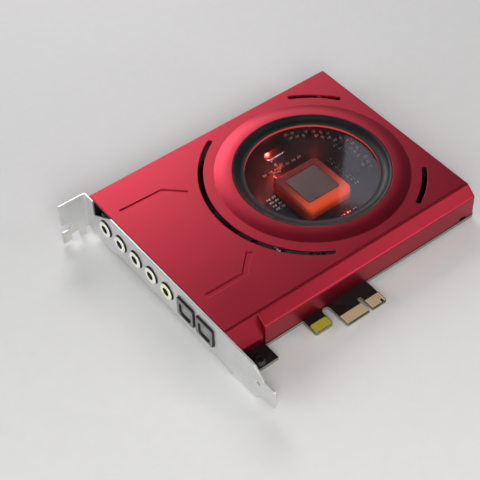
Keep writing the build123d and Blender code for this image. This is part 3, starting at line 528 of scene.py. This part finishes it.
# Solder joints: the jacks' legs and the optical modules' pins come through the board, and a cone of
# tin holds each one on the solder side.
joint, given = growth("solder_joint", {"Foot": 0.95 * MM, "Tip": 0.3 * MM, "Drop": 1.0 * MM})
cone = place(joint, "GeometryNodeMeshCone", {"Vertices": 14, "Radius Top": given["Foot"],
                                             "Radius Bottom": given["Tip"], "Depth": given["Drop"]})
hung = moved(joint, cone.outputs[0], (0.0, 0.0, calc(joint, "MULTIPLY", given["Drop"], -1.0)))
on_points(joint, given["Geometry"], [hung], tin)
board_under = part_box("circuit_board")[0][2]
leg_reach = 0.5 * MM
leg_grid = 2.0 * MM


def leg_spots(node):
    """Where the legs of a CAD node come out of the board on the solder side."""
    tips = {}
    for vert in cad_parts[node].data.vertices:
        if vert.co.z < board_under - leg_reach:
            cell = (round(vert.co.x / leg_grid), round(vert.co.y / leg_grid))
            tips.setdefault(cell, []).append(vert.co)
    return [((sum(v.x for v in found) / len(found), sum(v.y for v in found) / len(found), board_under), 0.0)
            for found in tips.values()]


PORTS = (1, 2)
legs = [spot for n in JACKS for spot in leg_spots(f"jack_{n}_contacts")]
legs += [spot for n in PORTS for spot in leg_spots(f"optical_{n}_module")]
grow("solder_joints", joint, legs, {})

# Optical ports: black moulded sockets with a key in two corners of the mouth, their front faces coloured
# lighter grey as a painted sheen. A grey flap hinged under the roof closes each one, pushed shut by a bent
# spring strip, with the optical module behind it.
flap_grey = finish("flap_grey", ((0.26, 0.26, 0.26), (0.36, 0.36, 0.36)), (0.35, 0.5), grain,
                   {"Patch": 200.0, "Tooth": 6000.0}, 0.006)
painted_front_sheen = finish("painted_front_sheen", ((0.14, 0.14, 0.14), (0.21, 0.21, 0.21)), (0.3, 0.42), grain,
                    {"Patch": 200.0, "Tooth": 6000.0}, 0.006)
spring_steel = finish("spring_steel", ((0.45, 0.45, 0.46), (0.72, 0.72, 0.73)), (0.2, 0.35), drawn,
                      {"Stretch": (300.0, 3000.0, 300.0)}, 0.001, {"Metallic": 1.0})
front_depth = 0.3 * MM
for n in PORTS:
    socket = rounded([f"optical_{n}_body"], f"optical_{n}_socket", moulded, 0.12, limit=30)
    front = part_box(f"optical_{n}_body")[0][0]
    # Painted sheen: the socket's front face is coloured lighter grey than the rest of its black moulding.
    recoat(socket, painted_front_sheen, lambda corners, way: way.x < -0.9 and corners[0].x < front + front_depth)
    rounded([f"optical_{n}_shutter"], f"optical_{n}_flap", flap_grey, 0.1,
            body=f"shutter_{n}", limit=30)
    dress(spring_steel, f"optical_{n}_spring")
    dress(epoxy, f"optical_{n}_module")

# Bracket: one blanked and folded steel sheet, nickel plated over its rolled grain, screwed to the board by
# two joggled ears.
rolled = {"Stretch": (3000.0, 90.0, 3000.0)}
bracket_nickel = finish("bracket_nickel", ((0.60, 0.60, 0.59), (0.78, 0.78, 0.77)), (0.28, 0.42), drawn,
                        rolled, 0.003, {"Metallic": 0.75})
plate_low, plate_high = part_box("bracket")
rounded(["bracket", "bracket_tab", "bracket_foot"], "bracket_sheet", bracket_nickel, 0.16,
        seams=((1, plate_low[1]), (1, plate_high[1])))
rounded(["bracket_ears"], "bracket_lugs", bracket_nickel, 0.1)

# Screws: tapered heads with a cross recess, cold formed and blackened. Two hold the bracket's ears to the
# board, and four hold the cover's posts from the solder side.
screw_dark = finish("screw_dark", ((0.05, 0.05, 0.053), (0.11, 0.11, 0.115)), (0.42, 0.55), drawn,
                    {"Stretch": (900.0, 900.0, 900.0)}, 0.002, {"Metallic": 1.0})
screw, given = growth("cross_head_screw", {"Head": 2.5 * MM, "Crown": 1.8 * MM, "Height": 1.7 * MM,
                                           "Shank": 1.5 * MM, "Length": 3.0 * MM, "Tilt": 0.0})
head = place(screw, "GeometryNodeMeshCone", {"Vertices": 32, "Radius Top": given["Crown"],
                                             "Radius Bottom": given["Head"], "Depth": given["Height"]})
blade_share = 0.24
span_share = 1.1
depth_share = 1.2
blade = calc(screw, "MULTIPLY", given["Head"], blade_share)
span = calc(screw, "MULTIPLY", given["Head"], span_share)
depth = calc(screw, "MULTIPLY", given["Height"], depth_share)
cut = place(screw, "GeometryNodeMeshBoolean", {"Mesh 1": head.outputs[0]}, operation="DIFFERENCE")
for size in ((span, blade, depth), (blade, span, depth)):
    screw.links.new(block(screw, size, (0.0, 0.0, given["Height"])), cut.inputs["Mesh 2"])
shank = place(screw, "GeometryNodeMeshCylinder", {"Vertices": 24, "Radius": given["Shank"],
                                                  "Depth": given["Length"]})
sunk = moved(screw, shank.outputs[0], (0.0, 0.0, calc(screw, "MULTIPLY", given["Length"], -0.5)))
lean = triple(screw, (given["Tilt"], 0.0, 0.0))
tipped = [place(screw, "GeometryNodeTransform", {"Geometry": shape, "Rotation": lean}).outputs[0]
          for shape in (cut.outputs[0], sunk)]
on_points(screw, given["Geometry"], tipped, screw_dark, screw_dark)
crown_share = 0.36
turn_step = 0.4
for node, name, seat, height, shank_radius, tilt in (
        ("bracket_screws", "ear_screws", board_top, 1.7 * MM, 1.5 * MM, 0.0),
        ("cover_screws", "post_screws", board_under, 1.5 * MM, 1.2 * MM, pi)):
    found = islands(node)
    size = found[0][1]
    spots = [((middle.x, middle.y, seat), turn_step * k) for k, (middle, _) in enumerate(found)]
    made = grow(name, screw, spots, {"Head": size.x / 2, "Crown": size.x * crown_share, "Height": height,
                                     "Shank": shank_radius, "Length": size.z - height, "Tilt": tilt})
    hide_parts(node)

# Cover: one pressed steel sheet with satin metallic paint outside, open at the bracket; its inside is
# coloured near-black as painted shade. Four bright turned posts are welded under it, and screws hold them
# to the board.
paint_red = finish("paint_red", ((0.34, 0.0075, 0.026), (0.40, 0.011, 0.033)), (0.36, 0.42), grain,
                   {"Patch": 45.0, "Tooth": 5000.0}, 0.004,
                   {"Metallic": 0.95, "Coat Weight": 0.3, "Coat Roughness": 0.36})
painted_shade_inside = finish("painted_shade_inside", ((0.012, 0.010, 0.010), (0.03, 0.026, 0.026)), (0.5, 0.65), grain,
                     {"Patch": 45.0, "Tooth": 5000.0}, 0.004)
shell = rounded(["cover"], "cover_shell", paint_red, 0.2)
window_middle = Vector((window_x, window_y, 0))
below_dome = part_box("cover")[1][2] - 1.9 * MM


def inside_shell(corners, way):
    """Whether a face of the cover looks down, or is upright and looks inwards below the dome's top."""
    if abs(way.z) < 0.3:
        return max(at.z for at in corners) < below_dome and way.dot(corners[0] - window_middle) < 0
    return way.z < -0.3


# Painted shade: the faces on the cover's inside are coloured near-black, so what shows through the vents
# reads dark.
recoat(shell, painted_shade_inside, inside_shell)
dress(can_metal, "cover_posts")

# Bezel: a black satin ring of moulded plastic, pressed into the dome's lip and dished towards the window.
# Its inner edge has a painted red glow, as emission, for the red light from under the window that it
# catches, most on the side away from the connector.
low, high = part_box("window_bezel")
outer = (high[0] - low[0]) / 2
inner = outer - 5.08 * MM
lip = outer - 0.85 * MM
corner = 0.15 * MM
sill = low[2] + 0.9 * MM
hollow = 0.5 * MM
dish_steps = 12
ring_steps = 160
painted_lip_glow = (1.0, 0.06, 0.045, 1)
away_x, away_y = 0.6, 0.8
bezel_satin = finish("bezel_satin", ((0.006, 0.006, 0.007), (0.013, 0.012, 0.013)), (0.36, 0.44), grain,
                     {"Patch": 60.0, "Tooth": 5000.0}, 0.003,
                     {"Specular IOR Level": 0.3, "Emission Strength": 0.5})
tree = bezel_satin.node_tree
shader = tree.nodes["Principled BSDF"]
at = along_axes(tree, spot_on(tree))
across = calc(tree, "SUBTRACT", at[0], window_x)
along = calc(tree, "SUBTRACT", at[1], window_y)
spread = calc(tree, "SQRT", calc(tree, "ADD", calc(tree, "MULTIPLY", across, across),
                                 calc(tree, "MULTIPLY", along, along)))
# Painted glow: emission on the inner edge stands in for the red light it catches, strongest away from the
# connector.
painted_edge_glow = rising(tree, spread, inner + 0.05 * MM, inner + 0.15 * MM, 1.0, 0.0)
away = calc(tree, "ADD", calc(tree, "MULTIPLY", across, away_x), calc(tree, "MULTIPLY", along, away_y))
lit = calc(tree, "MULTIPLY", painted_edge_glow, rising(tree, away, -10.0 * MM, 24.0 * MM, 0.1, 1.0))
tree.links.new(mixed(tree, lit, (0.0, 0.0, 0.0, 1), painted_lip_glow), shader.inputs["Emission Color"])
profile = [(inner, low[2]), (outer, low[2]), (outer, high[2] - corner), (outer - corner, high[2]),
           (lip, high[2])]
for step in range(1, dish_steps + 1):
    share = step / dish_steps
    profile.append((lip + (inner - lip) * share,
                    high[2] + (sill - high[2]) * share - hollow * sin(pi * share)))
form = bmesh.new()
loops = []
for step in range(ring_steps):
    turn = 2 * pi * step / ring_steps
    loops.append([form.verts.new((window_x + radius * cos(turn), window_y + radius * sin(turn), z))
                  for radius, z in profile])
for step in range(ring_steps):
    first, second = loops[step], loops[(step + 1) % ring_steps]
    for k in range(len(profile)):
        after = (k + 1) % len(profile)
        form.faces.new((first[k], second[k], second[after], first[after]))
bmesh.ops.recalc_face_normals(form, faces=form.faces)
mesh = bpy.data.meshes.new("bezel_ring")
form.to_mesh(mesh)
form.free()
mesh.shade_smooth()
mesh.set_sharp_from_angle(angle=radians(40))
mesh.materials.append(bezel_satin)
bezel = linked("bezel_ring", mesh)
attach(bezel, "card")
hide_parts("window_bezel")

# Window: a clear disc cut from cast acrylic sheet, held under the bezel's inner edge. It lets the light
# of the lamps through to the board below.
acrylic = finish("acrylic", ((0.93, 0.93, 0.95), (0.97, 0.97, 0.98)), (0.02, 0.06), grain,
                 {"Patch": 40.0, "Tooth": 800.0}, 0.0005, {"Transmission Weight": 1.0, "IOR": 1.49})
tree = acrylic.node_tree
clear = place(tree, "ShaderNodeBsdfTransparent", {"Color": (0.92, 0.92, 0.94, 1)})
rays = place(tree, "ShaderNodeLightPath")
through = place(tree, "ShaderNodeMixShader", {0: rays.outputs["Is Shadow Ray"],
                                              1: tree.nodes["Principled BSDF"].outputs[0],
                                              2: clear.outputs[0]})
tree.links.new(through.outputs[0], tree.nodes["Material Output"].inputs["Surface"])
dress(acrylic, "window")

# Studio: a pale floor tilted to the plane that the card lies on, which touches the bracket's tab and heel
# and one screw head. A soft key light stands behind the card, a fill near the camera, and weaker lights at
# its sides. Red points under the window stand for the light of the board's own lamps.
floor_level = -0.003224
floor_slope_x = 0.0257
floor_slope_y = -0.02825
floor_reach = 3.0
floor_mesh = bpy.data.meshes.new("floor")
floor_mesh.from_pydata([(x * floor_reach, y * floor_reach,
                         floor_level + floor_slope_x * x * floor_reach + floor_slope_y * y * floor_reach)
                        for x, y in ((-1, -1), (1, -1), (1, 1), (-1, 1))], [], [(0, 1, 2, 3)])
floor_pale = finish("floor_pale", ((0.80, 0.80, 0.80), (0.84, 0.84, 0.84)), (0.6, 0.7), grain,
                    {"Patch": 3.0, "Tooth": 200.0}, 0.01)
floor_mesh.materials.append(floor_pale)
floor = linked("floor", floor_mesh)
card_middle = (0.0, 0.055, 0.0)


def lamp(name, spot, size, power, colour, target=card_middle):
    """An area lamp at a place, turned to its target."""
    light = bpy.data.lights.new(name, "AREA")
    light.size = size
    light.energy = power
    light.color = colour
    holder = linked(name, light)
    holder.location = spot
    holder.rotation_euler = (Vector(target) - Vector(spot)).to_track_quat("-Z", "Y").to_euler()


lamp("key_light", (0.163, 0.60, 0.365), size=0.26, power=1.4, colour=(1.0, 0.97, 0.97))
lamp("back_light", (0.45, 0.60, 0.45), size=0.2, power=0.35, colour=(1.0, 0.97, 0.97))
lamp("side_light", (-0.75, 0.10, 0.30), size=0.5, power=2.2, colour=(0.97, 0.98, 1.0))
lamp("fill_light", (-0.30, -0.42, 0.45), size=0.35, power=2.9, colour=(1.0, 0.99, 0.96))
lamp("front_light", (0.36, -0.325, 0.42), size=0.16, power=0.36, colour=(1.0, 0.98, 0.97))
lamp("fold_light", (0.34, -0.58, 0.18), size=0.16, power=0.8, colour=(1.0, 0.98, 0.97))
lamp("window_panel", (0.375, 0.335, 0.40), size=0.12, power=0.04, colour=(0.86, 0.84, 1.0),
     target=(0.05, 0.05, 0.015))


def red_point(name, start, offset, power):
    """A small red lamp so many millimetres from a place on the card, which isn't seen itself."""
    light = bpy.data.lights.new(name, "POINT")
    light.energy = power
    light.color = (1.0, 0.06, 0.04)
    light.shadow_soft_size = 0.8 * MM
    holder = linked(name, light)
    holder.location = [level + step * MM for level, step in zip(start, offset)]
    holder.visible_camera = False
    holder.visible_transmission = False


on_board = (window_x, window_y, board_top)
crystal_low, crystal_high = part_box("crystal")
crystal_front = (crystal_low[0], crystal_low[1], crystal_high[2])
crystal_back = (crystal_low[0], crystal_high[1], crystal_high[2])
red_point("frame_lamp_left", on_board, (-20.0, 11.0, 3.0), 0.002)
red_point("frame_lamp_front", on_board, (6.0, -16.5, 4.0), 0.002)
red_point("crystal_lamp", crystal_front, (1.0, -4.0, 3.0), 0.010)
red_point("can_lamp", crystal_back, (6.0, 3.0, 5.0), 0.006)
red_point("rim_lamp", on_board, (20.0, 22.0, 6.0), 0.002)
world = bpy.data.worlds.new("studio")
world.use_nodes = True
tree = world.node_tree
sky = tree.nodes["Background"]
sky.inputs["Color"].default_value = (0.9, 0.92, 0.95, 1)
height = along_axes(tree, place(tree, "ShaderNodeTexCoord").outputs["Generated"])[2]
low_sky, high_sky = 0.1, 0.65
low_strength, high_strength = 0.32, 0.05
tree.links.new(rising(tree, height, low_sky, high_sky, low_strength, high_strength), sky.inputs["Strength"])
bpy.context.scene.world = world

# Camera: a long lens over the corner between the bracket and the connector, at the photograph's viewing
# angle. Its place and the ways it looks were worked out from the slot standard's sizes.
lens = bpy.data.cameras.new("photo_view")
lens.sensor_width = 36.0
lens.lens = 99.87
camera = linked("photo_view", lens)
camera_spot = (-0.241457, -0.239647, 0.408034)
right = Vector((0.7898238, -0.61299101, -0.02050344))
up = Vector((0.46151969, 0.57197492, 0.67811818))
back = -Vector((0.40395289, 0.54505662, -0.73466682))
turn = Matrix((right, up, back)).transposed().to_4x4()
camera.matrix_world = Matrix.Translation(camera_spot) @ turn
bpy.context.scene.camera = camera
bpy.context.scene.view_settings.view_transform = "Standard"
